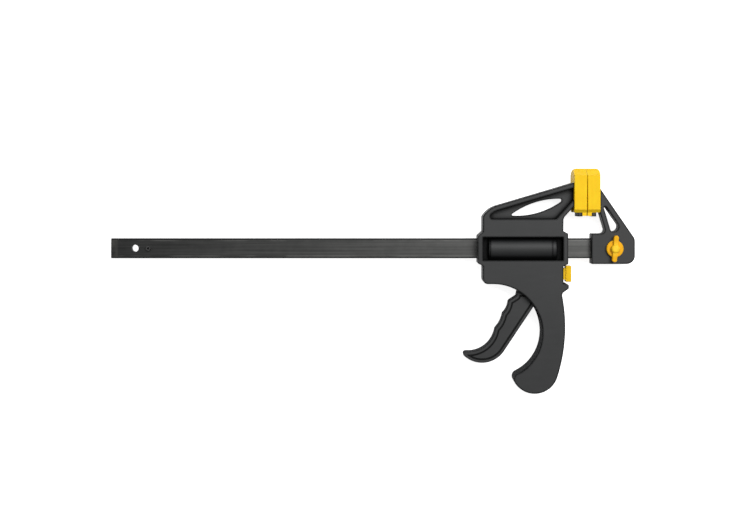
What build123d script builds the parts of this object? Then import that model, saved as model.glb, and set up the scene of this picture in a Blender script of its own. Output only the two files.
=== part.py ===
from build123d import *
import math
import os

# Quick release bar clamp, in millimetres, lying on its side with its jaws closed.
# +X runs along the bar towards the fixed jaw, +Y towards the tips of the jaws and
# +Z out of the side with the wing knob.  The two pads meet on X = 0, the bar's axis is
# Y = 0, Z = 0, and the whole clamp is laid out about the plane Z = 0.

# ------------------------------------------------------------------ driving dimensions

running_fit = 0.05  # radial, pins and screws that turn
sliding_fit = 0.25  # between the bar and what slides on it
seat_fit = 0.1  # between pieces that are fixed together

# bar
bar_length = 474.2
bar_width = 18.2
bar_thickness = 6.0
bar_edge_radius = 1.2
hang_hole_diameter = 6.5
hang_hole_inset = 21.9  # from the bar's free end
stop_pin_diameter = 4.0
stop_pin_inset = 34.5
stop_pin_length = 14.0
stop_pin_wall = 0.8
stop_pin_dish = 3.0  # the depth of the hollow in each end

# pads, the same on both jaws
pad_width = 32.0
pad_depth = 11.85
pad_bottom = 32.7
pad_top = 72.8
pad_face_wall = 4.2
pad_lip = 3.45
pad_crown_width = 10.0
pad_crown_drop = 6.2
pad_face_foot = 3.0  # how far the clamping face hangs below the cheeks
pad_bevel_width = 2.9
pad_bevel_height = 2.9
pad_corner_radii = (1.3, 3.2)  # of the back, at the bottom and at the top
pad_edge_radius = 0.8
pads_half_gap = 0.1
toe_in = 0.45  # degrees between each pad's face and the square

# jaw plates inside the pads
plate_foot = 3.5  # how far the plate shows below the pad's cheeks
plate_width = 25.0
plate_crown_drop = 5.3
neck_width = 14.0
neck_bottom = 38.6
neck_top = 59.3

# fixed jaw
jaw_thickness = 22.0
jaw_start = 4.3
jaw_length = 39.4
jaw_top = 13.5
jaw_bottom = -14.0
jaw_corner_radius = 7.5
jaw_edge_radius = 0.8
jaw_arm_top = 55.1
jaw_arm_slope = 55.5  # degrees, the outer edge's fall towards the bar
jaw_inner_slope = 73.6  # degrees, the inner edge's
jaw_inner_top = 32.9
jaw_inner_fillet = 3.5
outer_strut = 5.1
inner_strut = 4.6
strut_floor = 1.9  # from the block's top up to the window between the struts
bar_inset = 2.7  # the bar's end lies this far inside the jaw

# locking screw and knob
screw_diameter = 6.0
screw_hole_clearance = 0.3
screw_pitch = 1.0
lock_inset = 18.6  # from the fixed jaw's outer end
nut_across_flats = 10.0
nut_thickness = 5.0
washer_diameter = 12.0
washer_thickness = 1.0
knob_disc_diameter = 15.4
knob_disc_thickness = 3.0
knob_hub_diameter = 8.0
knob_height = 7.6
wing_span = 24.2
wing_width = 4.5
wing_height = 6.2
wing_angle = 85.3  # degrees from the bar

# housing: two shells that meet on Z = 0
shell_half = 15.4
shell_wall = 2.6
shell_edge_radius = 1.0
body_right = -21.6
body_length = 72.9
flange_thickness = (4.5, 4.2)  # the left and the right flange
flange_wall = (2.4, 4.6)  # beside the bar, at the outer faces
flange_root = (4.8, 5.4)  # beside the recess, where the flanges leave the body
flange_corner_radius = (1.5, 0.8)
flange_drop = 1.9  # how much further the left flange reaches below the bar than above it
recess_half = 10.6
recess_floor = 5.6
wall_beside_recess = 3.0
barrel_wall = 1.65
barrel_end_gap = 5.3
barrel_collars = (1.9, 4.3)  # the length of the stepped-down part at each end
barrel_collar_step = 0.6
barrel_round = 1.2
arm_slope = 16.5  # degrees
arm_top = 59.8
arm_shoulder_x = 12.6  # where the arm's slope starts to bend down, from the body's left
arm_left_height = 29.0
arm_right_height = 26.5
arm_throat_step = 2.4
arm_throat_height = 38.4
arm_rim = 4.0
arm_web_half = 4.5
arm_field_bottom = 26.8
arm_field_inset = 6.5  # from the body's left
arm_field_corner = 2.2
leaf_end_radii = (1.0, 1.6)
belly_corner_radius = 4.5
belly_radius = 44.6
palm_radius = 40.8
palm_height = -76.6  # where the inside of the grip is deepest
grip_deepest = 19.0  # from the body's right side to the deepest point of the grip
butt_centre_x = 25.95  # from the body's right side
butt_centre_y = -109.8
hook_radius = 5.8
hook_angle = -63.6
back_angle = -17.9  # where the grip's back leaves the round of the butt
guard_top = -31.2
guard_tip = (-32.4, -36.1)
guard_root = -40.5
guard_reach = 4.9
guard_round = 1.4
guard_fillet = 3.5
neck_recess = 1.5

# coil spring that returns the drive plates
drive_wire = 1.2
drive_turns = 9
spring_clearance = 0.2
barrel_clearance = 0.35

# drive plates and trigger
drive_plate_thickness = 2.5
drive_plate_bottom = -20.0
drive_plate_top = 12.6
plate_side_web = 3.0
plate_hole_slack = 0.5
plate_running_gap = 0.4
trigger_pivot = (-44.0, -28.0)
trigger_swing = 17.0
trigger_half = 9.0
trigger_boss_radius = 5.5
nose_arm = (0.5, 13.0)
nose_radius = 3.0
nose_half = 5.5
trigger_pin_diameter = 5.0
trigger_pin_half = 13.0
trigger_side_gap = 0.35
panel_rim = 2.6
panel_depth = 0.5
groove_width = 1.2
groove_depth = 1.5
panel_top = -42.5
trigger_edge_radius = 0.7
trigger_tip_reach = (-69.9, -66.7)  # from the pivot, before the tip is rounded
crest_reaches = ((-26.7, -19.7), (-32.0, -31.2), (-38.9, -44.8))  # the ridges between two fingers
crest_radius = 2.5
scallop_depth = 1.3

# brake plate and release button
brake_fulcrum_x = -31.5
brake_fulcrum_y = 13.2
brake_thickness = 3.0
brake_bottom = -26.5
brake_tilt = 4.5
brake_grip_gap = 0.12
button_height = 14.7
button_top = -15.9
button_half = 5.5
button_outer = -13.4
button_cap = 5.3
button_stem_inset = 2.0
button_stem_half = 4.0
button_travel = 2.5
button_notches = 5
notch_reach = 1.4
notch_depth = 0.8
brake_spring_y = -21.0
brake_spring_radius = 3.1
brake_wire = 0.7
brake_spring_turns = 3
brake_seat = (-39.0, -37.4)
brake_seat_height = (-24.0, -18.4)

# housing screws, driven in from the back
case_screw_diameter = 3.0
case_screw_head = 6.0
case_screw_head_height = 2.2
case_screw_reach = 9.0
case_boss_radius = 4.2
case_screw_places = [
    (-86.0, 19.2), (-33.0, 19.2), (-86.0, -21.0), (-28.0, -42.5), (-31.0, -88.0), (-47.0, -118.5),
]
rib_thickness = 1.6
rib_heights = [-72.0, -100.0]

# ------------------------------------------------------------------ worked out from them

bar_half = bar_width / 2
bar_slot_half = bar_thickness / 2
bar_right = jaw_start + jaw_length - bar_inset
bar_left = bar_right - bar_length
hang_hole_x = bar_left + hang_hole_inset
stop_pin_x = bar_left + stop_pin_inset

plate_bottom = pad_bottom - plate_foot
plate_near = pad_face_wall + seat_fit
plate_far = pad_depth - pad_lip - seat_fit
plate_top = pad_top - plate_crown_drop
arm_end = pad_depth + seat_fit

jaw_end = jaw_start + jaw_length
lock_x = jaw_end - lock_inset
jaw_face = jaw_thickness / 2
knob_base = jaw_face + washer_thickness

body_left = body_right - body_length
flange_left = body_left - flange_thickness[0]
flange_right = body_right + flange_thickness[1]
shell_roof = shell_half - shell_wall

bar_corner = math.hypot(bar_half, bar_slot_half)
drive_spring_radius = bar_corner + spring_clearance + drive_wire / 2
barrel_bore = drive_spring_radius + drive_wire / 2 + barrel_clearance
barrel_radius = barrel_bore + barrel_wall
barrel_left = body_left + barrel_end_gap
barrel_right = body_right - barrel_end_gap
bore_left = barrel_left + barrel_wall

nose_reach = math.hypot(*nose_arm)
nose = (trigger_pivot[0] + nose_arm[0], trigger_pivot[1] + nose_arm[1])
plates_right = nose[0] - nose_radius - seat_fit
plates_left = plates_right - 2 * drive_plate_thickness
drive_stroke = nose_reach * math.radians(trigger_swing)
drive_plate_half = bar_slot_half + plate_side_web
chamber_half = drive_plate_half + plate_running_gap

brake_lean = math.radians(brake_tilt)
brake_hole_top = (
    (brake_fulcrum_y - bar_half - brake_grip_gap) - brake_thickness * math.sin(brake_lean)
) / math.cos(brake_lean)
brake_hole_bottom = (brake_fulcrum_y + bar_half + brake_grip_gap) / math.cos(brake_lean)
brake_length = (brake_fulcrum_y - brake_bottom) / math.cos(brake_lean)
button_middle = button_top - button_height / 2
brake_touch_x = brake_fulcrum_x + (brake_fulcrum_y - button_middle) * math.tan(brake_lean)
window_half = button_height / 2 - button_stem_inset


def polar(centre, radius, degrees):
    """The point at a distance and a direction from a centre."""
    angle = math.radians(degrees)
    return (centre[0] + radius * math.cos(angle), centre[1] + radius * math.sin(angle))


def crossing(start, degrees, height):
    """Where the line from a point, falling at an angle, comes down to a height."""
    return (start[0] + (start[1] - height) / math.tan(math.radians(degrees)), height)


def block(x, y, z, mode=Mode.ADD):
    """A box between two limits on each axis, added to or cut from the piece in hand."""
    with BuildSketch(Plane.XY.offset(z[0])) as base:
        with Locations(((x[0] + x[1]) / 2, (y[0] + y[1]) / 2)):
            Rectangle(x[1] - x[0], y[1] - y[0])
    extrude(base.sketch, amount=z[1] - z[0], mode=mode)


def disc(centre, radius, z, mode=Mode.ADD):
    """A round boss along Z, or a round hole with Mode.SUBTRACT."""
    with BuildSketch(Plane.XY.offset(z[0])) as base:
        with Locations(centre):
            Circle(radius)
    extrude(base.sketch, amount=z[1] - z[0], mode=mode)


def rod_along_x(radius, x, mode=Mode.ADD):
    """A round rod on the bar's axis, or the bore for one."""
    with BuildSketch(Plane.YZ.offset(x[0])) as base:
        Circle(radius)
    extrude(base.sketch, amount=x[1] - x[0], mode=mode)


def save(piece, name):
    """Label one finished piece and write its file."""
    piece.part.label = name
    export_step(piece.part, f"parts/{name}.step")


os.makedirs("parts", exist_ok=True)

# ------------------------------------------------------------------ bar and its stop pin

with BuildPart() as bar:
    with BuildSketch(Plane.YZ.offset(bar_left)):
        RectangleRounded(bar_width, bar_thickness, bar_edge_radius)
    extrude(amount=bar_length)
    with Locations((hang_hole_x, 0, bar_slot_half)):
        Hole(hang_hole_diameter / 2)
    with Locations((stop_pin_x, 0, bar_slot_half)):
        Hole(stop_pin_diameter / 2)
    with Locations((lock_x, 0, bar_slot_half)):
        Hole(screw_diameter / 2 + screw_hole_clearance)
save(bar, "bar")

# a drive pin, hollow at both ends
with BuildPart() as stop_pin:
    pin_end = stop_pin_length / 2
    disc((stop_pin_x, 0), stop_pin_diameter / 2, (-pin_end, pin_end))
    for z in ((-pin_end, stop_pin_dish - pin_end), (pin_end - stop_pin_dish, pin_end)):
        disc((stop_pin_x, 0), stop_pin_diameter / 2 - stop_pin_wall, z, Mode.SUBTRACT)
save(stop_pin, "stop_pin")

# ------------------------------------------------------------------ jaw plates and pads


def jaw_plate(side):
    """The plate that carries a pad, and its neck to the arm; side is -1 or +1 along X."""
    with BuildSketch(Plane.YZ.offset(side * plate_near)) as face:
        with BuildLine():
            half = plate_width / 2
            crown = half - 5.5
            Polyline(
                (plate_bottom, -half), (plate_top - 5.0, -half), (plate_top, -crown),
                (plate_top, crown), (plate_top - 5.0, half), (plate_bottom, half),
                close=True,
            )
        make_face()
    extrude(face.sketch, amount=side * (plate_far - plate_near))
    block(
        sorted((side * plate_far, side * arm_end)), (neck_bottom, neck_top),
        (-neck_width / 2, neck_width / 2),
    )


def jaw_pad(side):
    """A soft cap that slides down over a jaw plate: face, two cheeks and a lipped back."""
    cheek = pad_width / 2
    with BuildPart() as cap:
        with BuildSketch(Plane.XY.offset(-cheek)) as profile:
            with BuildLine():
                tip = side * pads_half_gap
                drop = math.tan(math.radians(toe_in)) * (pad_top - pad_bottom + pad_face_foot)
                Polyline(
                    (tip, pad_top), (tip + side * drop, pad_bottom - pad_face_foot),
                    (side * pad_face_wall, pad_bottom - pad_face_foot),
                    (side * pad_face_wall, pad_bottom),
                    (side * pad_depth, pad_bottom), (side * pad_depth, pad_top),
                    close=True,
                )
            make_face()
            for height, radius in zip((pad_bottom, pad_top), pad_corner_radii):
                back = profile.vertices().sort_by_distance((side * pad_depth, height))[0]
                fillet(back, radius=radius)
        extrude(profile.sketch, amount=pad_width)
        # the crown: the cheeks lean in over the top, and a bevel runs along below them
        with BuildSketch(Plane.YZ.offset(-pad_depth)) as front:
            with BuildLine():
                low = pad_bottom - pad_face_foot
                foot = cheek - pad_bevel_width
                bevel_top = pad_bottom + pad_bevel_height
                shoulder = pad_top - pad_crown_drop
                Polyline(
                    (low, -foot), (pad_bottom, -foot), (bevel_top, -cheek), (shoulder, -cheek),
                    (pad_top, -pad_crown_width / 2), (pad_top, pad_crown_width / 2),
                    (shoulder, cheek), (bevel_top, cheek), (pad_bottom, foot), (low, foot),
                    close=True,
                )
            make_face()
        extrude(front.sketch, amount=2 * pad_depth, mode=Mode.INTERSECT)
        uprights = cap.edges().filter_by(lambda e: e.length > 20 and abs((e % 0.5).Y) > 0.99)
        fillet(uprights, radius=pad_edge_radius)
        # the pocket for the plate, open below
        with BuildSketch(Plane.YZ.offset(side * pad_face_wall)) as pocket:
            with BuildLine():
                half = plate_width / 2 + seat_fit
                crown = half - 5.5
                top = plate_top + seat_fit
                low = pad_bottom - pad_face_foot - 1
                Polyline(
                    (low, -half), (top - 5.0, -half), (top, -crown),
                    (top, crown), (top - 5.0, half), (low, half),
                    close=True,
                )
            make_face()
        extrude(
            pocket.sketch, amount=side * (pad_depth - pad_lip - pad_face_wall), mode=Mode.SUBTRACT
        )
        block(
            sorted((side * (pad_depth - pad_lip - 1), side * (pad_depth + 1))),
            (pad_bottom - 1, neck_top + seat_fit),
            (-neck_width / 2 - seat_fit, neck_width / 2 + seat_fit), Mode.SUBTRACT,
        )
    return cap


save(jaw_pad(-1), "moving_jaw_pad")
save(jaw_pad(1), "fixed_jaw_pad")

# ------------------------------------------------------------------ fixed jaw

arm_corner = crossing((arm_end, jaw_arm_top), jaw_arm_slope, 0)
outer_edge_height = math.tan(math.radians(jaw_arm_slope)) * (arm_corner[0] - jaw_end)
inner_corner = crossing((arm_end, jaw_inner_top), jaw_inner_slope, jaw_top)

# the window between the struts keeps a set distance from both edges of the arm
window_floor = jaw_top + strut_floor
window_right = crossing((arm_end, jaw_arm_top), jaw_arm_slope, window_floor)[0]
window_right -= outer_strut / math.sin(math.radians(jaw_arm_slope))
window_left = crossing((arm_end, jaw_inner_top), jaw_inner_slope, window_floor)[0]
window_left += inner_strut / math.sin(math.radians(jaw_inner_slope))
window_rise = (window_right - window_left) / (
    1 / math.tan(math.radians(jaw_arm_slope)) - 1 / math.tan(math.radians(jaw_inner_slope))
)
window_tip_x = window_left - window_rise / math.tan(math.radians(jaw_inner_slope))

with BuildPart() as fixed_jaw:
    with BuildSketch(Plane.XY.offset(-jaw_face)) as jaw_side:
        with BuildLine():
            Polyline(
                (jaw_start, jaw_bottom), (jaw_end, jaw_bottom),
                (jaw_end, outer_edge_height), (arm_end, jaw_arm_top), (arm_end, jaw_inner_top),
                inner_corner, (jaw_start, jaw_top),
                close=True,
            )
        make_face()
        right_corners = jaw_side.vertices().sort_by(Axis.X)[-2:]
        fillet(right_corners, radius=jaw_corner_radius)
        inner = jaw_side.vertices().sort_by_distance(inner_corner)[0]
        fillet(inner, radius=jaw_inner_fillet)
        left_corners = jaw_side.vertices().sort_by(Axis.X)[:2]
        fillet(left_corners, radius=jaw_edge_radius)
    extrude(jaw_side.sketch, amount=jaw_thickness)
    with BuildSketch(Plane.XY.offset(-jaw_face)) as window:
        Polygon(
            (window_left, window_floor), (window_right, window_floor),
            (window_tip_x, window_floor + window_rise), align=None,
        )
        fillet(window.vertices().sort_by(Axis.Y)[-1], radius=1.2)
        fillet(window.vertices().sort_by_distance((window_right, window_floor))[0], radius=4.6)
        fillet(window.vertices().sort_by_distance((window_left, window_floor))[0], radius=3.0)
    extrude(window.sketch, amount=jaw_thickness, mode=Mode.SUBTRACT)
    flats = fixed_jaw.faces().filter_by(Axis.Z)
    fillet(flats.edges(), radius=jaw_edge_radius)
    jaw_plate(1)
    # the way through for the bar, the screw's hole and the nut's pocket
    block(
        (jaw_start - 1, jaw_end + 1), (-bar_half - seat_fit, bar_half + seat_fit),
        (-bar_slot_half - seat_fit, bar_slot_half + seat_fit), Mode.SUBTRACT,
    )
    disc(
        (lock_x, 0), screw_diameter / 2 + screw_hole_clearance, (-jaw_face, jaw_face), Mode.SUBTRACT
    )
    with BuildSketch(Plane.XY.offset(-jaw_face)):
        with Locations((lock_x, 0)):
            RegularPolygon(nut_across_flats / 2 + seat_fit, 6, major_radius=False)
    extrude(amount=nut_thickness, mode=Mode.SUBTRACT)
save(fixed_jaw, "fixed_jaw")

# ------------------------------------------------------------------ locking screw, nut, knob

with BuildPart() as lock_nut:
    with BuildSketch(Plane.XY.offset(-jaw_face)):
        with Locations((lock_x, 0)):
            RegularPolygon(nut_across_flats / 2, 6, major_radius=False)
            Circle(screw_diameter / 2, mode=Mode.SUBTRACT)
    extrude(amount=nut_thickness)
save(lock_nut, "lock_nut")

with BuildPart() as lock_washer:
    with BuildSketch(Plane.XY.offset(jaw_face)):
        with Locations((lock_x, 0)):
            Circle(washer_diameter / 2)
            Circle(screw_diameter / 2 + screw_hole_clearance, mode=Mode.SUBTRACT)
    extrude(amount=washer_thickness)
save(lock_washer, "lock_washer")

screw_top = knob_base + knob_height - 2.5
screw_bottom = -jaw_face + 0.5
with BuildPart() as lock_screw:
    disc((lock_x, 0), screw_diameter / 2 - running_fit, (screw_bottom, screw_top))
    chamfer(lock_screw.faces().sort_by(Axis.Z)[0].edges(), length=0.6)
save(lock_screw, "lock_screw")

with BuildPart() as lock_knob:
    disc((lock_x, 0), knob_disc_diameter / 2, (knob_base, knob_base + knob_disc_thickness))
    fillet(lock_knob.faces().sort_by(Axis.Z)[-1].edges(), radius=1.0)
    with BuildSketch(Plane.XY.offset(knob_base)) as wing:
        with Locations((lock_x, 0)):
            SlotOverall(wing_span, wing_width, rotation=wing_angle)
    extrude(wing.sketch, amount=wing_height)
    fillet(lock_knob.faces().sort_by(Axis.Z)[-1].edges(), radius=0.9)
    disc((lock_x, 0), knob_hub_diameter / 2, (knob_base, knob_base + knob_height))
    fillet(lock_knob.faces().sort_by(Axis.Z)[-1].edges(), radius=2.0)
    disc((lock_x, 0), screw_diameter / 2, (knob_base, screw_top + seat_fit), Mode.SUBTRACT)
save(lock_knob, "lock_knob")

# ------------------------------------------------------------------ housing outline

belly_centre = (body_right - grip_deepest - belly_radius, palm_height)
palm_centre = (body_right - grip_deepest - palm_radius, palm_height)
hook_centre = polar(palm_centre, palm_radius + hook_radius, hook_angle)
butt_centre = (body_right - butt_centre_x, butt_centre_y)
butt_radius = math.dist(butt_centre, hook_centre) + hook_radius
hook_leaves = math.degrees(
    math.atan2(hook_centre[1] - butt_centre[1], hook_centre[0] - butt_centre[0])
)
back_start = polar(butt_centre, butt_radius, back_angle)
belly_top = belly_centre[1] + belly_radius
slope = math.tan(math.radians(arm_slope))
shoulder_x = body_left + arm_shoulder_x
arm_shoulder = (shoulder_x, arm_top - (-arm_end - shoulder_x) * slope)

with BuildSketch() as outline:
    with BuildLine():
        guard_neck = (body_right - neck_recess, guard_root)
        TangentArc(back_start, guard_neck, tangent=polar((0, 0), 1, back_angle + 90))
        Polyline(
            guard_neck, (body_right + guard_reach, guard_tip[1]),
            (body_right + guard_reach, guard_tip[0]), (body_right, guard_top),
            (body_right, arm_right_height), (body_right + 1.0, arm_right_height + arm_throat_step),
            (-arm_end, arm_throat_height), (-arm_end, arm_top), arm_shoulder,
        )
        shoulder = TangentArc(
            arm_shoulder, (body_left, arm_left_height), tangent=polar((0, 0), 1, arm_slope + 180)
        )
        Line(shoulder @ 1, (body_left, belly_top + belly_corner_radius))
        corner = TangentArc(
            (body_left, belly_top + belly_corner_radius),
            (body_left + belly_corner_radius, belly_top), tangent=(0, -1),
        )
        Line(corner @ 1, polar(belly_centre, belly_radius, 90))
        ThreePointArc(*[polar(belly_centre, belly_radius, a) for a in (90, 45, 0)])
        ThreePointArc(
            *[polar(palm_centre, palm_radius, a) for a in (0, hook_angle / 2, hook_angle)]
        )
        ThreePointArc(
            polar(hook_centre, hook_radius, hook_angle + 180),
            polar(hook_centre, hook_radius, 180),
            polar(hook_centre, hook_radius, hook_leaves),
        )
        ThreePointArc(polar(butt_centre, butt_radius, hook_leaves),
                      polar(butt_centre, butt_radius, -90), back_start)
    make_face()
    # the hand guard behind the grip, rounded at its tip and into the neck
    for height, radius in ((guard_tip[0], guard_round), (guard_tip[1], guard_round)):
        corner_point = (body_right + guard_reach, height)
        fillet(outline.vertices().sort_by_distance(corner_point)[0], radius=radius)
    fillet(outline.vertices().sort_by_distance(guard_neck)[0], radius=guard_fillet)

with BuildSketch() as flanges:
    left_half, right_half = (bar_half + wall for wall in flange_wall)
    left_root, right_root = (recess_half + root for root in flange_root)
    Polygon(
        (flange_left, -left_half - flange_drop), (flange_left, left_half), (body_left, left_root),
        (body_right, right_root), (flange_right, right_half), (flange_right, -right_half),
        (body_right, -right_root), (body_left, -left_root), align=None,
    )
    fillet(flanges.vertices().group_by(Axis.X)[0], radius=flange_corner_radius[0])
    fillet(flanges.vertices().group_by(Axis.X)[-1], radius=flange_corner_radius[1])

# the arm's panels: sunk inside a rim, and open towards the jaw plate
rim_rise = arm_rim / math.cos(math.radians(arm_slope))
throat_slope = (arm_throat_height - arm_right_height - arm_throat_step) / (
    -arm_end - body_right - 1.0
)
throat_rise = arm_rim * math.hypot(1, throat_slope)
with BuildSketch() as arm_field:
    add(outline.sketch)
    offset(amount=-arm_rim, kind=Kind.ARC, mode=Mode.REPLACE)
    near, far = -arm_end - arm_rim - 1, -arm_end
    Polygon(
        (near, arm_top - (far - near) * slope - rim_rise), (far, arm_top - rim_rise),
        (far, arm_throat_height + throat_rise),
        (near, arm_throat_height - (far - near) * throat_slope + throat_rise), align=None,
    )
    field_left = body_left + arm_field_inset
    with Locations(((field_left + far) / 2, arm_field_bottom + pad_top / 2)):
        Rectangle(far - field_left, pad_top, mode=Mode.INTERSECT)
    # the line beside the throat runs straight down to the field's lower edge
    throat_line = (far, arm_throat_height + throat_rise)
    field_right = (far - (throat_line[1] - arm_field_bottom) / throat_slope, arm_field_bottom)
    Polygon(field_right, throat_line, (far, arm_field_bottom), align=None, mode=Mode.SUBTRACT)
    # the two rounds at its narrow end share the wall between them
    field_end = arm_field.vertices().group_by(Axis.X)[0].sort_by(Axis.Y)
    end_wall = field_end[-1].Y - field_end[0].Y
    fillet(field_end, radius=min(arm_field_corner, end_wall / 1.8))
    fillet(arm_field.vertices().sort_by_distance(field_right)[0], radius=arm_field_corner)

# the leaf-shaped window through the web
with BuildSketch() as leaf:
    with BuildLine():
        leaf_left = (body_left + 25.2, arm_field_bottom + 3.1)
        leaf_right = (-arm_end - 6.85, arm_top - 14.8)
        ThreePointArc(leaf_left, (-44.7, 42.35), leaf_right)
        ThreePointArc(leaf_right, (-45.8, 31.75), leaf_left)
    make_face()
    leaf_ends = leaf.vertices().sort_by(Axis.X)
    fillet(leaf_ends[0], radius=leaf_end_radii[0])
    fillet(leaf.vertices().sort_by(Axis.X)[-1], radius=leaf_end_radii[1])

# the hollow inside: all but the walls, the screw bosses, the ribs and the spring's seat
case_wall = recess_half + wall_beside_recess
with BuildSketch() as hollow:
    add(outline.sketch)
    offset(amount=-shell_wall, kind=Kind.ARC, mode=Mode.REPLACE)
    with BuildSketch(mode=Mode.PRIVATE) as kept:
        with Locations((0, -case_wall - 100)):
            Rectangle(400, 200)
        with Locations((0, (case_wall + arm_field_bottom - shell_wall) / 2)):
            Rectangle(400, arm_field_bottom - shell_wall - case_wall)
    add(kept.sketch, mode=Mode.INTERSECT)
    with Locations(*case_screw_places):
        Circle(case_boss_radius, mode=Mode.SUBTRACT)
    with Locations(*[(body_right - 30, y) for y in rib_heights]):
        Rectangle(80, rib_thickness, mode=Mode.SUBTRACT)
    with Locations((sum(brake_seat) / 2, sum(brake_seat_height) / 2)):
        Rectangle(
            brake_seat[1] - brake_seat[0], brake_seat_height[1] - brake_seat_height[0],
            mode=Mode.SUBTRACT,
        )

# the mouth in the belly that the trigger swings in
with BuildSketch() as trigger_mouth:
    Polygon(
        (trigger_pivot[0] + 6.6, trigger_pivot[1]), (trigger_pivot[0] + 5.6, -52.0),
        (trigger_pivot[0] + 0.4, -67.0), (-60.0, -62.0), (-72.0, -42.0), (-50.0, -25.0),
        align=None,
    )


# the barrel round the spring, stepped down at both ends
with BuildSketch() as barrel:
    with BuildLine():
        collar_radius = barrel_radius - barrel_collar_step
        shoulders = (barrel_left + barrel_collars[0], barrel_right - barrel_collars[1])
        Polyline(
            (barrel_left, 0), (barrel_left, collar_radius), (shoulders[0], collar_radius),
            (shoulders[0], barrel_radius), (shoulders[1], barrel_radius),
            (shoulders[1], collar_radius), (barrel_right, collar_radius), (barrel_right, 0),
            close=True,
        )
    make_face()
    for end in (barrel_left, barrel_right):
        rim = barrel.vertices().sort_by_distance((end, collar_radius))[0]
        fillet(rim, radius=barrel_round)


def half_shell():
    """One half of the housing, from the parting plane out to its flat side."""
    with BuildPart() as half:
        extrude(outline.sketch, amount=shell_half)
        fillet(half.faces().sort_by(Axis.Z)[-1].edges(), radius=shell_edge_radius)
        extrude(flanges.sketch, amount=shell_half)
        # the long recess, and the spring's barrel that shows in it
        block(
            (body_left, body_right), (-recess_half, recess_half), (recess_floor, shell_half + 1),
            Mode.SUBTRACT,
        )
        revolve(barrel.sketch, axis=Axis.X)
        # the arm's sunk panel and its window
        extrude(
            arm_field.sketch.moved(Location((0, 0, arm_web_half))), amount=shell_half,
            mode=Mode.SUBTRACT,
        )
        extrude(leaf.sketch, amount=shell_half, mode=Mode.SUBTRACT)
        jaw_plate(-1)
        split(bisect_by=Plane.XY, keep=Keep.TOP)
        # the hollow, the spring's bore and the slots of the plates
        extrude(hollow.sketch, amount=shell_roof, mode=Mode.SUBTRACT)
        rod_along_x(barrel_bore, (bore_left, plates_left + 1), Mode.SUBTRACT)
        block(
            (plates_left - drive_stroke - 0.6, plates_right + plate_running_gap),
            (-case_wall - 1, case_wall + 1), (-1, chamber_half), Mode.SUBTRACT,
        )
        block(
            (plates_right - 1, nose[0] + nose_radius + 1), (-case_wall - 1, -bar_half - 1),
            (-1, chamber_half), Mode.SUBTRACT,
        )
        block(
            (brake_fulcrum_x - brake_thickness - 0.3, brake_fulcrum_x + 2.3),
            (-case_wall - 1, brake_fulcrum_y - 1.0), (-1, chamber_half), Mode.SUBTRACT,
        )
        block(
            (brake_fulcrum_x - brake_thickness - 0.3, brake_fulcrum_x + seat_fit),
            (0, case_wall + 1), (-1, chamber_half), Mode.SUBTRACT,
        )
        block(
            (flange_left - 1, flange_right + 1), (-bar_half - sliding_fit, bar_half + sliding_fit),
            (-1, bar_slot_half + sliding_fit), Mode.SUBTRACT,
        )
        # the trigger's mouth and its pin, the button's window
        extrude(trigger_mouth.sketch, amount=trigger_half + trigger_side_gap + 0.3, mode=Mode.SUBTRACT)
        disc(trigger_pivot, trigger_boss_radius, (trigger_half + trigger_side_gap, shell_roof + 0.5))
        disc(
            trigger_pivot, trigger_pin_diameter / 2 + running_fit / 2,
            (0, trigger_pin_half + seat_fit), Mode.SUBTRACT,
        )
        block(
            (body_right - shell_wall - 1, body_right + 1),
            (button_middle - window_half - seat_fit, button_middle + window_half + seat_fit),
            (-1, button_stem_half + seat_fit), Mode.SUBTRACT,
        )
    return half.part


with BuildPart() as housing_front:
    add(half_shell())
    for place in case_screw_places:
        disc(
            place, case_screw_diameter / 2 + 0.02, (0, case_screw_reach + 1), Mode.SUBTRACT
        )
save(housing_front, "housing_front")

head_seat = -shell_half + case_screw_head_height + 0.8
with BuildPart() as housing_back:
    mirror(half_shell(), about=Plane.XY)
    for place in case_screw_places:
        disc(place, case_screw_diameter / 2 + 0.2, (-shell_half, 0), Mode.SUBTRACT)
        disc(place, case_screw_head / 2 + 0.2, (-shell_half - 1, head_seat), Mode.SUBTRACT)
save(housing_back, "housing_back")

with BuildPart() as housing_screws:
    for place in case_screw_places:
        disc(place, case_screw_diameter / 2, (head_seat, case_screw_reach))
        disc(place, case_screw_head / 2, (head_seat - case_screw_head_height, head_seat))
save(housing_screws, "housing_screws")

# ------------------------------------------------------------------ drive: plates and spring


def drive_plate(left):
    """A steel plate with a window for the bar, its left face at the given place."""
    with BuildPart() as plate:
        with BuildSketch(Plane.YZ.offset(left)):
            with Locations(((drive_plate_bottom + drive_plate_top) / 2, 0)):
                RectangleRounded(
                    drive_plate_top - drive_plate_bottom, 2 * drive_plate_half, 1.0
                )
            Rectangle(
                bar_width + plate_hole_slack, bar_thickness + plate_hole_slack, mode=Mode.SUBTRACT
            )
        extrude(amount=drive_plate_thickness)
    return plate


save(drive_plate(plates_left), "drive_plate_left")
save(drive_plate(plates_left + drive_plate_thickness), "drive_plate_right")


def coil(start, length, radius, wire, turns):
    """An open coil spring along X from a point."""
    with BuildPart() as spring:
        with BuildLine() as path:
            Helix(
                pitch=(length - wire) / turns, height=length - wire, radius=radius,
                center=(start[0] + wire / 2, start[1], start[2]), direction=(1, 0, 0),
            )
        with BuildSketch(path.line ^ 0):
            Circle(wire / 2)
        sweep()
    return spring


spring_room = plates_left - bore_left
save(
    coil(
        (bore_left + 0.05, 0, 0), spring_room - 0.1, drive_spring_radius, drive_wire, drive_turns
    ),
    "drive_spring",
)

# ------------------------------------------------------------------ trigger and its pin

def from_pivot(across, up):
    """A point of the trigger's outline, given from its pivot."""
    return (trigger_pivot[0] + across, trigger_pivot[1] + up)


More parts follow.
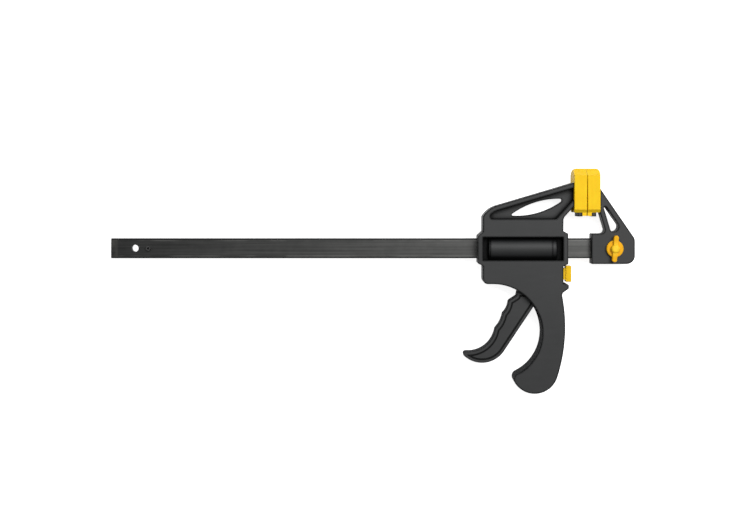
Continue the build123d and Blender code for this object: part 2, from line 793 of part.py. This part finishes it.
crests = [from_pivot(*reach) for reach in crest_reaches]
trigger_tip = from_pivot(*trigger_tip_reach)
trigger_heel = from_pivot(-30.9, -65.1)
trigger_waist = from_pivot(-4.0, -24.5)
trigger_notch = from_pivot(-19.6, -15.2)
trigger_brow = from_pivot(-18.6, -10.4)
neck_back = from_pivot(trigger_boss_radius - 0.2, -2.0)
with BuildSketch() as grip:
    with BuildLine():
        Polyline(neck_back, trigger_waist, trigger_heel)
        along_back = (trigger_heel[0] - trigger_waist[0], trigger_heel[1] - trigger_waist[1])
        TangentArc(trigger_heel, trigger_tip, tangent=along_back)
        Line(trigger_tip, from_pivot(-65.0, -65.9))
        ThreePointArc(from_pivot(-65.0, -65.9), from_pivot(-46.7, -59.6), crests[2])
        SagittaArc(crests[2], crests[1], -scallop_depth)
        SagittaArc(crests[1], crests[0], -scallop_depth)
        Polyline(crests[0], trigger_notch, trigger_brow, from_pivot(-3.6, 4.2), neck_back)
    make_face()
    for corner_point, corner_radius in (
        (crests[0], crest_radius), (crests[1], crest_radius), (crests[2], crest_radius),
        (trigger_tip, 1.9), (trigger_waist, 6.0), (trigger_notch, 2.0), (trigger_brow, 2.0),
    ):
        fillet(grip.vertices().sort_by_distance(corner_point)[0], radius=corner_radius)

with BuildPart() as trigger:
    with BuildSketch(Plane.XY.offset(-trigger_half)) as side_view:
        add(grip.sketch)
        with Locations(trigger_pivot):
            Circle(trigger_boss_radius)
    extrude(side_view.sketch, amount=2 * trigger_half)
    rims = trigger.faces().filter_by(Axis.Z)
    fillet(rims.edges(), radius=trigger_edge_radius)
    # the sunk panel on each side, with a groove round it
    with BuildSketch() as panel:
        add(grip.sketch)
        offset(amount=-panel_rim, kind=Kind.ARC, mode=Mode.REPLACE)
        with Locations((-80, panel_top - 50)):
            Rectangle(100, 100, mode=Mode.INTERSECT)
    with BuildSketch() as groove:
        add(panel.sketch)
        offset(amount=-groove_width, kind=Kind.ARC, mode=Mode.SUBTRACT)
    for cut, depth in ((panel, panel_depth), (groove, groove_depth)):
        for level in (-trigger_half, trigger_half - depth):
            extrude(
                cut.sketch.moved(Location((0, 0, level))), amount=depth, mode=Mode.SUBTRACT
            )
    # the nose that pushes the plates
    with BuildSketch(Plane.XY.offset(-nose_half)) as nose_side:
        with BuildLine():
            Polyline(
                (nose[0] - nose_radius, nose[1]), (nose[0] + nose_radius, nose[1]),
                (nose[0] + nose_radius, trigger_pivot[1]),
                (nose[0] - nose_radius, trigger_pivot[1]), close=True,
            )
        make_face()
        with Locations(nose):
            Circle(nose_radius)
    extrude(nose_side.sketch, amount=2 * nose_half)
    disc(
        trigger_pivot, trigger_pin_diameter / 2 + running_fit, (-trigger_half, trigger_half),
        Mode.SUBTRACT,
    )
save(trigger, "trigger")

with BuildPart() as trigger_pin:
    disc(trigger_pivot, trigger_pin_diameter / 2, (-trigger_pin_half, trigger_pin_half))
save(trigger_pin, "trigger_pin")

# ------------------------------------------------------------------ brake and release button

# the plate hangs from its top edge and leans out at the bottom
fulcrum_plane = Plane(
    origin=(brake_fulcrum_x, brake_fulcrum_y, -drive_plate_half),
    x_dir=(math.cos(brake_lean), math.sin(brake_lean), 0), z_dir=(0, 0, 1),
)
with BuildPart() as brake_plate:
    with BuildSketch(fulcrum_plane) as plate_side:
        with Locations((-brake_thickness / 2, -brake_length / 2)):
            Rectangle(brake_thickness, brake_length)
    extrude(plate_side.sketch, amount=2 * drive_plate_half)
    hole_edge = drive_plate_half - bar_slot_half - plate_hole_slack / 2
    with BuildSketch(fulcrum_plane.offset(hole_edge)) as hole_side:
        with Locations((-brake_thickness / 2, -(brake_hole_top + brake_hole_bottom) / 2)):
            Rectangle(2 * brake_thickness, brake_hole_bottom - brake_hole_top)
    extrude(hole_side.sketch, amount=bar_thickness + plate_hole_slack, mode=Mode.SUBTRACT)
save(brake_plate, "brake_plate")

button_bottom = button_top - button_height
flange_face = body_right - shell_wall - seat_fit
with BuildPart() as release_button:
    block(
        (button_outer - button_cap, button_outer), (button_bottom, button_top),
        (-button_half, button_half),
    )
    fillet(release_button.edges(), radius=0.8)
    # notches across the cap's inner edge
    notch_pitch = (button_height - 3) / button_notches
    for index in range(button_notches):
        y = button_middle + (index - (button_notches - 1) / 2) * notch_pitch
        for side in (-1, 1):
            block(
                (button_outer - button_cap - 1, button_outer - button_cap + notch_reach),
                (y - notch_pitch / 4, y + notch_pitch / 4),
                sorted((side * (button_half - notch_depth), side * (button_half + 1))),
                Mode.SUBTRACT,
            )
    block(
        (flange_face - 2, button_outer - button_cap + 1),
        (button_middle - window_half, button_middle + window_half),
        (-button_stem_half, button_stem_half),
    )
    block(
        (flange_face - 2, flange_face),
        (button_middle - window_half - 1.2, button_middle + window_half + 1.2),
        (-button_stem_half - 1, button_stem_half + 1),
    )
    block(
        (brake_touch_x + seat_fit, flange_face - 1), (button_middle - 1, button_middle + 1),
        (-button_stem_half, button_stem_half),
    )
save(release_button, "release_button")

brake_left_x = (
    brake_fulcrum_x - brake_thickness / math.cos(brake_lean)
    + (brake_fulcrum_y - brake_spring_y) * math.tan(brake_lean)
)
brake_spring_room = brake_left_x - brake_seat[1]
save(
    coil(
        (brake_seat[1] + 0.05, brake_spring_y, 0), brake_spring_room - 0.4, brake_spring_radius,
        brake_wire, brake_spring_turns,
    ),
    "brake_spring",
)

print("bar left end", round(bar_left, 2), "stop pin", round(stop_pin_x, 2))
print("jaw travel", round(flange_left - stop_pin_x - stop_pin_diameter / 2, 2))
print("drive ratio mm/rad", round(nose_reach, 3), "stroke", round(drive_stroke, 3))
print("brake arm", round(brake_fulcrum_y - button_middle, 3), "touch", round(brake_touch_x, 3))
print("lock x", round(lock_x, 3), "barrel", round(barrel_radius, 2))
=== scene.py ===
# How a quick release bar clamp looks, in metres and in the frame of its CAD model.

import math

import bpy
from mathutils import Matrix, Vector


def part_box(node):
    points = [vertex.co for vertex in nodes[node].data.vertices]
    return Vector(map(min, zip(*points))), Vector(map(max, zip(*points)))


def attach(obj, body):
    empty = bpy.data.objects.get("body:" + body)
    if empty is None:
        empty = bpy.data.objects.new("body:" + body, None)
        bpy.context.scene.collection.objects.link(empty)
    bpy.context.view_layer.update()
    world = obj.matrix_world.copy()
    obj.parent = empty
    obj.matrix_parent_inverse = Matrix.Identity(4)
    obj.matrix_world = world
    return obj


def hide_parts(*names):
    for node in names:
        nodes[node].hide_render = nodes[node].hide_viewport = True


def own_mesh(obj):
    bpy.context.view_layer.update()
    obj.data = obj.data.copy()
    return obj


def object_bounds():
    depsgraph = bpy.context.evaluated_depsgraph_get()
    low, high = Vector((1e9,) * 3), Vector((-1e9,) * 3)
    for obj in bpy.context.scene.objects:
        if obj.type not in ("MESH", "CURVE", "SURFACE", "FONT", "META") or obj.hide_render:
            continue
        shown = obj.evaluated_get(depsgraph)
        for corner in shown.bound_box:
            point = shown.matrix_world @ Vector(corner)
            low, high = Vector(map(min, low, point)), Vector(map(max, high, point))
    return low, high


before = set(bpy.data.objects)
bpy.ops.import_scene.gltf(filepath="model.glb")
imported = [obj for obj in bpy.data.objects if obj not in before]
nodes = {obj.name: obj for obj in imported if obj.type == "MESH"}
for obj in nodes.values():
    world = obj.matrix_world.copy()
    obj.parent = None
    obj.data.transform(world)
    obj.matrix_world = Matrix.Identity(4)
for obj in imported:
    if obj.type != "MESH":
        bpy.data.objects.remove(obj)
cad_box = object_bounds()

# ---------------------------------------------------------------- places on the clamp, in metres

bar_free_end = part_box("bar")[0][0]
bar_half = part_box("bar")[1][1]  # half of the bar's width
painted_light_run = (-0.42, 0.03)  # painted light: the bar's colour gets lighter from the first to the second
recess_half = 0.0106  # half of the width of the recess round the barrel
body_right = -0.0216  # the housing's side towards the fixed jaw
palm_centre = (-0.0814, -0.0766)  # of the round inside of the grip
palm_radius = 0.0408
knob_axis = (0.0251, 0)
knob_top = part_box("lock_knob")[1][2]
case_screw_centres = (
    (-0.0860, 0.0192), (-0.0330, 0.0192), (-0.0860, -0.0210),
    (-0.0280, -0.0425), (-0.0310, -0.0880), (-0.0470, -0.1185),
)

# ---------------------------------------------------------------- shader maths


class Wire:
    """A node socket. Arithmetic on wires and numbers adds Math nodes to the material."""

    def __init__(self, tree, socket):
        self.tree, self.socket = tree, socket

    def math(self, operation, *values, clamp=False):
        node = self.tree.nodes.new("ShaderNodeMath")
        node.operation, node.use_clamp = operation, clamp
        for slot, value in zip(node.inputs, values):
            plug(self.tree, slot, value)
        return Wire(self.tree, node.outputs[0])

    def __add__(self, other):
        return self.math("ADD", self, other)

    def __sub__(self, other):
        return self.math("SUBTRACT", self, other)

    def __rsub__(self, other):
        return self.math("SUBTRACT", other, self)

    def __mul__(self, other):
        return self.math("MULTIPLY", self, other)

    def __pow__(self, other):
        return self.math("POWER", self, other)

    def __abs__(self):
        return self.math("ABSOLUTE", self)

    __radd__, __rmul__ = __add__, __mul__

    def higher(self, other):
        return self.math("MAXIMUM", self, other)

    def lower(self, other):
        return self.math("MINIMUM", self, other)

    def between(self, low, high):
        """0 below low, 1 above high, and a straight rise from one to the other."""
        return self.math("MULTIPLY", self - low, 1 / (high - low), clamp=True)


def plug(tree, slot, value):
    """Link a wire to a socket, or set the socket's own value."""
    if isinstance(value, Wire):
        tree.links.new(value.socket, slot)
    else:
        slot.default_value = value


def as_colour(value):
    """A tone with the alpha that a colour socket wants. A wire passes through."""
    return value if isinstance(value, Wire) else (*value, 1.0)


def shaded(tone, share):
    """A tone made darker or lighter."""
    return tuple(channel * share for channel in tone)


class Finish:
    """A material with one Principled shader, and the nodes that feed it."""

    def __init__(self, name):
        self.material = bpy.data.materials.new(name)
        self.material.use_nodes = True
        self.tree = self.material.node_tree
        self.shader = self.tree.nodes["Principled BSDF"]
        self.surface = Wire(self.tree, self.shader.outputs["BSDF"])
        self.place = self.add("ShaderNodeTexCoord", out="Object")

    def add(self, kind, settings=None, values=None, out=0):
        """A wire from a new node, with its settings made before its sockets are filled."""
        node = self.tree.nodes.new(kind)
        for key, value in (settings or {}).items():
            setattr(node, key, value)
        for key, value in (values or {}).items():
            plug(self.tree, node.inputs[key], value)
        return Wire(self.tree, node.outputs[out])

    def set(self, **sockets):
        """Plug values or wires into the shader, with _ for a space in a socket's name."""
        for name, value in sockets.items():
            slot = self.shader.inputs[name.replace("_", " ")]
            plug(self.tree, slot, as_colour(value) if slot.type == "RGBA" else value)
        return self

    def split(self, vector):
        """The x, y and z of a vector."""
        node = self.add("ShaderNodeSeparateXYZ", values={0: vector}).socket.node
        return [Wire(self.tree, output) for output in node.outputs]

    def stretched(self, x, y, z):
        """The object's own coordinates, each axis at its own pace."""
        return self.add(
            "ShaderNodeVectorMath", {"operation": "MULTIPLY"}, {0: self.place, 1: (x, y, z)}
        )

    def distance(self, centre):
        """How far a point is from a line along Z through the centre."""
        x, y, _ = self.split(self.place)
        across, up = x - centre[0], y - centre[1]
        return (across * across + up * up) ** 0.5

    def noise(self, scale, where=None, detail=3, rough=0.55):
        """Cloudy noise from 0 to 1. The scale is in patches to the metre."""
        sockets = {"Vector": where or self.place, "Scale": scale, "Detail": detail, "Roughness": rough}
        return self.add("ShaderNodeTexNoise", values=sockets, out="Fac")

    def blend(self, factor, a, b):
        """From colour a to colour b as the factor goes from 0 to 1."""
        first_colour, second_colour, mixed_colour = 6, 7, 2  # the Mix node's colour sockets
        return self.add(
            "ShaderNodeMix", {"data_type": "RGBA"},
            {"Factor": factor, first_colour: as_colour(a), second_colour: as_colour(b)},
            out=mixed_colour,
        )

    def edges(self, radius):
        """1 on a rounded-over edge, 0 on flat ground."""
        bevel = self.add("ShaderNodeBevel", {"samples": 6}, {"Radius": radius})
        plain = self.add("ShaderNodeNewGeometry", out="Normal")
        cosine = self.add(
            "ShaderNodeVectorMath", {"operation": "DOT_PRODUCT"}, {0: bevel, 1: plain}, out="Value"
        )
        return (1 - cosine).between(0.002, 0.05)

    def facing(self, low, high):
        """1 on faces square to the clamp's thickness, 0 on its walls."""
        _, _, tilt = self.split(self.add("ShaderNodeTexCoord", out="Normal"))
        return abs(tilt).between(low, high)

    def crevice(self, distance, low=0.35, high=0.95):
        """Ambient occlusion for painted shade: 0 deep in a corner or a groove, 1 on open ground."""
        open_sky = self.add(
            "ShaderNodeAmbientOcclusion", {"samples": 8, "only_local": True},
            {"Distance": distance}, out="AO",
        )
        return open_sky.between(low, high)

    def crosses(self, centres, reach, half_width):
        """1 inside a cross recess at each centre, with arms that narrow outwards, 0 elsewhere."""
        taper, side_wall, end_wall = 0.12, 0.00008, 0.0002
        x, y, _ = self.split(self.place)
        pressed = 0
        for centre_x, centre_y in centres:
            across, up = abs(x - centre_x), abs(y - centre_y)
            outwards, aside = across.higher(up), across.lower(up)
            in_arm = (half_width - aside - taper * outwards).between(0, side_wall)
            pressed = (reach - outwards).between(0, end_wall) * in_arm + pressed
        return pressed

    def bump(self, height, distance, strength, under=None):
        """A relief as deep as the distance, on top of the one under it."""
        sockets = {"Height": height, "Distance": distance, "Strength": strength}
        if under:
            sockets["Normal"] = under
        return self.add("ShaderNodeBump", values=sockets)


# ---------------------------------------------------------------- moulded case


def moulded_case(name, tone, edge_width, corner_width):
    """Glass-filled nylon: a fine grained sheen on its flats, duller walls, and painted shade in its
    corners, on its rounded edges, deep in the recess and on the palm's side of the grip.
    """
    finish = Finish(name)
    cloud = finish.noise(45, detail=4)
    flow = finish.noise(1, finish.stretched(60, 260, 120), detail=2)
    grain = finish.noise(3400, detail=2, rough=0.6)
    pits = finish.noise(900, detail=2)
    edge = finish.edges(edge_width)
    level = finish.facing(0.78, 0.985)

    # painted shade: the recess along the bar is painted blackest where it is deepest, from ambient
    # occlusion, as are the corners
    x, y, _ = finish.split(finish.place)
    off_recess = abs(y).between(recess_half + 0.0002, recess_half + 0.0010)
    off_recess = off_recess.higher(x.between(body_right + 0.0001, body_right + 0.0011))
    shallow = off_recess.higher(finish.crevice(0.014, 0.3, 0.7))
    open_ground = finish.crevice(corner_width) * shallow

    # painted shade: the palm's side of the grip gets no sheen, so it reads as the most shaded of the
    # walls
    off_palm = finish.distance(palm_centre).between(palm_radius + 0.0038, palm_radius + 0.0057)
    outer_wall = (1 - finish.facing(0.1, 0.4)) * off_palm
    # painted shade: rounded edges lose most of their sheen and go dark, as dark outlines
    shine = (level + 0.6 * outer_wall) * (1 - 0.85 * edge)
    speckle = 0.67 + 0.22 * grain + 0.14 * pits

    shade = (cloud * 0.6 + flow * 0.4).between(0.3, 0.7)
    ground = finish.blend(shade, shaded(tone, 0.85), shaded(tone, 1.15))
    # painted shade: a near-black tone for corners, rounded edges and the deep recess
    painted_shade_tone = shaded(tone, 0.22)
    return finish.set(
        Base_Color=finish.blend(open_ground * (1 - 0.7 * edge), painted_shade_tone, ground),
        Roughness=0.62 + 0.12 * grain + 0.06 * cloud,
        Coat_Weight=shine * (0.1 + 0.9 * open_ground) * (0.9 + 0.1 * off_recess) * speckle,
        Coat_Roughness=0.53,
        Normal=finish.bump(grain * 0.75 + pits * 0.25, 0.00006, 0.45),
        Specular_IOR_Level=0.02,
    ).material


# ---------------------------------------------------------------- steel

# painted shade: the black of the bar's rounded edges and corners
painted_edge_shade = (0.004, 0.004, 0.005)
# painted light: a shaded and a lit copy of the oxide skin, for the free end and for the housing's end
shaded_oxide = ((0.024, 0.025, 0.025), (0.056, 0.056, 0.055))
lit_oxide = ((0.066, 0.066, 0.064), (0.120, 0.120, 0.117))
scuffed_steel = (0.105, 0.103, 0.094)
# rubbed wear that is also a painted highlight along the bar's edges
rubbed_and_highlight_tone = (0.20, 0.20, 0.195)
# painted shade: the darkening of corners and hollows on steel
painted_corner_shade = (0.008, 0.008, 0.008)
# painted shade: the inside of each cross recess, which is only a bump
painted_recess_shade = (0.02, 0.02, 0.02)

rolled_marks = (500, 2500, 500)  # how close tool marks lie along each axis
turned_marks = (700, 700, 60)


def blackened_bar():
    """Drawn steel with a burnt-in oxide skin, streaked along its length, painted lighter towards the
    housing, and painted black on its edges and in its corners as shade.
    """
    finish = Finish("blackened bar")
    streak = finish.noise(1, finish.stretched(14, 1500, 1500), detail=4, rough=0.65)
    long_streak = finish.noise(1, finish.stretched(5, 420, 420), detail=3)
    scale_skin = finish.noise(120, detail=5, rough=0.6)
    scratch = finish.noise(1, finish.stretched(90, 5200, 5200), detail=2)
    rubbed = finish.noise(1, finish.stretched(38, 200, 200), detail=2)
    along, across, _ = finish.split(finish.place)
    across = abs(across)
    flat = finish.facing(0.80, 0.99) * (1 - across.between(bar_half - 0.0015, bar_half - 0.0007))

    # painted light: the skin is darker towards the free end and lighter towards the housing, and the
    # end itself is scuffed
    tone = (streak * 0.45 + long_streak * 0.35 + scale_skin * 0.2).between(0.36, 0.64)
    shaded_skin = finish.blend(tone, *shaded_oxide)
    lit_skin = finish.blend(tone, *lit_oxide)
    skin = finish.blend(along.between(*painted_light_run), shaded_skin, lit_skin)
    at_end = 1 - along.between(bar_free_end + 0.0052, bar_free_end + 0.0067)
    scuffed = at_end * scale_skin.between(0.35, 0.6)
    skin = finish.blend(scuffed * 0.6, skin, scuffed_steel)

    # a thin lighter line where the flat turns into each rounded edge: rubbed wear and a painted
    # highlight
    beside_edge = 1 - abs(across - (bar_half - 0.0021)).between(0.0002, 0.0007)
    rub_and_highlight = beside_edge * rubbed.between(0.45, 0.6)
    skin = finish.blend(rub_and_highlight * 0.35, skin, rubbed_and_highlight_tone)
    # painted shade: the rounded edges and the corners are painted black
    return finish.set(
        Base_Color=finish.blend(flat * finish.crevice(0.003), painted_edge_shade, skin),
        Metallic=0.9 * flat,
        Roughness=0.36 + 0.14 * streak + 0.10 * scale_skin,
        Normal=finish.bump(streak * 0.6 + scratch * 0.4, 0.00004, 0.35),
        Specular_IOR_Level=0.1,
    ).material


def bright_steel(name, tone, roughness, marks_at=rolled_marks, recesses=()):
    """Zinc plate or oiled spring steel with fine tool marks and painted shade in its corners, and a
    cross recess at each place given, painted black inside as shade.
    """
    finish = Finish(name)
    marks = finish.noise(1, finish.stretched(*marks_at), detail=3)
    haze = finish.noise(220, detail=4)
    ground = finish.blend(haze.between(0.35, 0.65), shaded(tone, 0.78), tone)
    # painted shade: corners and hollows darken from ambient occlusion
    ground = finish.blend(finish.crevice(0.002, 0.3, 0.75), painted_corner_shade, ground)
    relief = finish.bump(marks, 0.00003, 0.3)
    if recesses:
        # painted shade: each cross recess is painted near black inside
        pressed = finish.crosses(recesses, 0.0019, 0.00062)
        ground = finish.blend(pressed, ground, painted_recess_shade)
        relief = finish.bump(1 - pressed, 0.0004, 0.5, under=relief)
    return finish.set(
        Base_Color=ground,
        Metallic=1.0,
        Roughness=roughness - 0.05 + 0.12 * marks,
        Normal=relief,
    ).material


# ---------------------------------------------------------------- pads, knob and button

pad_deep, pad_pale, pad_worn = (0.91, 0.55, 0.008), (0.97, 0.65, 0.014), (0.95, 0.66, 0.08)
# edge wear that is also a painted highlight, and the painted highlight of the knob's hub
knob_wear_and_highlight, painted_hub_highlight = (0.98, 0.70, 0.03), (0.98, 0.66, 0.035)


def soft_pad():
    """Tough yellow elastomer: satin, faintly mottled, rubbed paler along its edges."""
    finish = Finish("soft pad")
    cloud = finish.noise(70, detail=4)
    fine = finish.noise(2600, detail=2)
    flow = finish.noise(1, finish.stretched(300, 50, 90), detail=2)
    worn = finish.edges(0.0008)
    shade = (cloud * 0.6 + flow * 0.4).between(0.3, 0.7)
    ground = finish.blend(shade, pad_deep, pad_pale)
    return finish.set(
        Base_Color=finish.blend(worn * 0.35, ground, pad_worn),
        Roughness=0.40 + 0.10 * fine + 0.06 * cloud,
        Normal=finish.bump(fine * 0.8 + cloud * 0.2, 0.00004, 0.3),
        Subsurface_Weight=0.12,
        Subsurface_Radius=(0.0022, 0.0011, 0.0003),
        Specular_IOR_Level=0.10,
    ).material


def bright_knob(name, tone, highlight_from=None):
    """Harder moulded plastic of the knob and the button.

    Above the height that its painted highlight starts from, it is painted paler round the knob's axis."""
    finish = Finish(name)
    cloud = finish.noise(160, detail=3)
    fine = finish.noise(2200, detail=2)
    worn = finish.edges(0.0005)
    paler = tuple(min(channel, 0.97) for channel in shaded(tone, 1.07))
    ground = finish.blend(cloud.between(0.35, 0.65), tone, paler)
    # painted highlight: the knob's hub is painted paler round its axis
    if highlight_from is not None:
        _, _, height = finish.split(finish.place)
        round_axis = 1 - finish.distance(knob_axis).between(0.0010, 0.0075)
        hub = height.between(highlight_from, highlight_from + 0.0025) * round_axis
        ground = finish.blend(hub, ground, painted_hub_highlight)
    return finish.set(
        # edge wear, strong enough to also be a painted highlight on the rims
        Base_Color=finish.blend(worn * 0.9, ground, knob_wear_and_highlight),
        Roughness=0.34 + 0.10 * fine,
        Normal=finish.bump(fine, 0.00003, 0.25),
        Specular_IOR_Level=0.12,
    ).material


# ---------------------------------------------------------------- what each node wears

case = moulded_case("moulded case", (0.018, 0.0188, 0.0195), edge_width=0.0022, corner_width=0.005)
case_trigger = moulded_case(
    "moulded trigger", (0.020, 0.0208, 0.0215), edge_width=0.0008, corner_width=0.0022
)
pad_skin = soft_pad()
zinc = bright_steel("zinc plate", (0.44, 0.44, 0.43), 0.38)
screw_tone = (0.42, 0.42, 0.41)
screw_zinc = bright_steel("turned zinc", screw_tone, 0.38, turned_marks)
spring_steel = bright_steel("spring steel", (0.26, 0.25, 0.24), 0.36, turned_marks)

wears = {
    "bar": blackened_bar(),
    "stop_pin": bright_steel("oiled pin", (0.10, 0.10, 0.10), 0.34, turned_marks),
    "fixed_jaw": case,
    "fixed_jaw_pad": pad_skin,
    "moving_jaw_pad": pad_skin,
    "lock_knob": bright_knob("bright knob", (0.84, 0.42, 0.006), highlight_from=knob_top - 0.0040),
    "lock_screw": screw_zinc,
    "lock_washer": zinc,
    "lock_nut": zinc,
    "housing_front": case,
    "housing_back": case,
    "housing_screws": bright_steel("recessed zinc", screw_tone, 0.38, recesses=case_screw_centres),
    "trigger": case_trigger,
    "trigger_pin": screw_zinc,
    "drive_plate_left": zinc,
    "drive_plate_right": zinc,
    "drive_spring": spring_steel,
    "brake_plate": zinc,
    "brake_spring": spring_steel,
    "release_button": bright_knob("bright button", (0.88, 0.54, 0.010)),
}
for node, material in wears.items():
    for slot in nodes[node].material_slots:
        slot.material = material

# ---------------------------------------------------------------- springs

wire_sides, steps_a_turn, dead_turns = 10, 32, 0.8


def wound_spring(name, node, turns, wire):
    """A coil spring along the bar in its CAD node's room, with close-wound ends."""
    low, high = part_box(node)
    length = high[0] - low[0]
    radius = (high[1] - low[1] - wire) / 2
    middle = [(low[axis] + high[axis]) / 2 for axis in (1, 2)]
    close_pitch = 1.08 * wire
    open_pitch = (length - wire - 2 * dead_turns * close_pitch) / (turns - 2 * dead_turns)

    def reach(turn):
        """How far along the coil a turn is, from its left end."""
        closed_left = min(turn, dead_turns)
        closed_right = max(turn - (turns - dead_turns), 0)
        closed = closed_left + closed_right
        return close_pitch * closed + open_pitch * (turn - closed)

    steps = turns * steps_a_turn
    points, faces = [], []
    for step in range(steps + 1):
        angle = 2 * math.pi * step / steps_a_turn
        x = low[0] + wire / 2 + reach(step / steps_a_turn)
        for side in range(wire_sides):
            around = 2 * math.pi * side / wire_sides
            out = radius + wire / 2 * math.cos(around)
            points.append((
                x + wire / 2 * math.sin(around),
                middle[0] + out * math.cos(angle),
                middle[1] + out * math.sin(angle),
            ))
    for step in range(steps):
        here, there = step * wire_sides, (step + 1) * wire_sides
        for side in range(wire_sides):
            after = (side + 1) % wire_sides
            faces.append((here + side, here + after, there + after, there + side))
    faces += [tuple(range(wire_sides))[::-1], tuple(range(steps * wire_sides, len(points)))]

    mesh = bpy.data.meshes.new(name)
    mesh.from_pydata(points, [], faces)
    mesh.polygons.foreach_set("use_smooth", [len(face) == 4 for face in faces])
    mesh.materials.append(spring_steel)
    piece = bpy.data.objects.new(name, mesh)
    bpy.context.scene.collection.objects.link(piece)
    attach(piece, "moving_jaw")
    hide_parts(node)
    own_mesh(piece)


wound_spring("drive_coil", "drive_spring", 9, 0.0012)
wound_spring("brake_coil", "brake_spring", 3, 0.0007)

# ---------------------------------------------------------------- floor

floor_height = cad_box[0][2] - 0.0002
bpy.ops.mesh.primitive_plane_add(size=12, location=(-0.15, 0, floor_height))
floor = bpy.context.object
floor.name = "floor"

# the floor is white where it is seen or mirrored, and takes the clamp's shadow
paper = Finish("paper floor")
paper.set(Base_Color=(0.86, 0.86, 0.86), Roughness=0.9, Specular_IOR_Level=0.1)
seen, mirrored, refracted = (
    paper.add("ShaderNodeLightPath", out=ray)
    for ray in ("Is Camera Ray", "Is Glossy Ray", "Is Transmission Ray")
)
glow = paper.add("ShaderNodeEmission", values={"Color": (1, 1, 1, 1), "Strength": 0.85})
lit = paper.add("ShaderNodeAddShader", values={0: glow, 1: paper.surface})
mixed = paper.add(
    "ShaderNodeMixShader", values={0: seen.higher(mirrored).higher(refracted), 1: paper.surface, 2: lit}
)
plug(paper.tree, paper.tree.nodes["Material Output"].inputs["Surface"], mixed)
floor.data.materials.append(paper.material)

# ---------------------------------------------------------------- light

world = bpy.data.worlds.new("room")
bpy.context.scene.world = world
world.use_nodes = True
room_light = world.node_tree.nodes["Background"].inputs
room_light["Color"].default_value = (1, 1, 1, 1)
room_light["Strength"].default_value = 0.2


def softbox(name, place, aim, size, power):
    """A square lamp that faces the point it is aimed at."""
    lamp = bpy.data.lights.new(name, "AREA")
    lamp.shape, lamp.size, lamp.energy = "SQUARE", size, power
    holder = bpy.data.objects.new(name, lamp)
    bpy.context.scene.collection.objects.link(holder)
    holder.location = place
    holder.rotation_euler = (Vector(aim) - Vector(place)).to_track_quat("-Z", "Y").to_euler()


softbox("key", (0.50, 0.70, 1.75), aim=(-0.03, 0, 0), size=1.1, power=34)
softbox("fill", (-0.5, 0.4, 1.8), aim=(-0.1, 0, 0), size=0.8, power=3)

# ---------------------------------------------------------------- camera

picture_width, picture_height = 739, 525
axis_across, axis_down = 404, 190  # the pixel that the lens's axis meets

optics = bpy.data.cameras.new("camera")
optics.sensor_width = 36
optics.lens = 72.6
optics.shift_x = (picture_width / 2 - axis_across) / picture_width
optics.shift_y = -(picture_height / 2 - axis_down) / picture_width
camera = bpy.data.objects.new("camera", optics)
camera.location = (-0.1659, 0.0532, 1.363)  # it looks straight down
bpy.context.scene.collection.objects.link(camera)
bpy.context.scene.camera = camera

bpy.context.scene.view_settings.view_transform = "Standard"
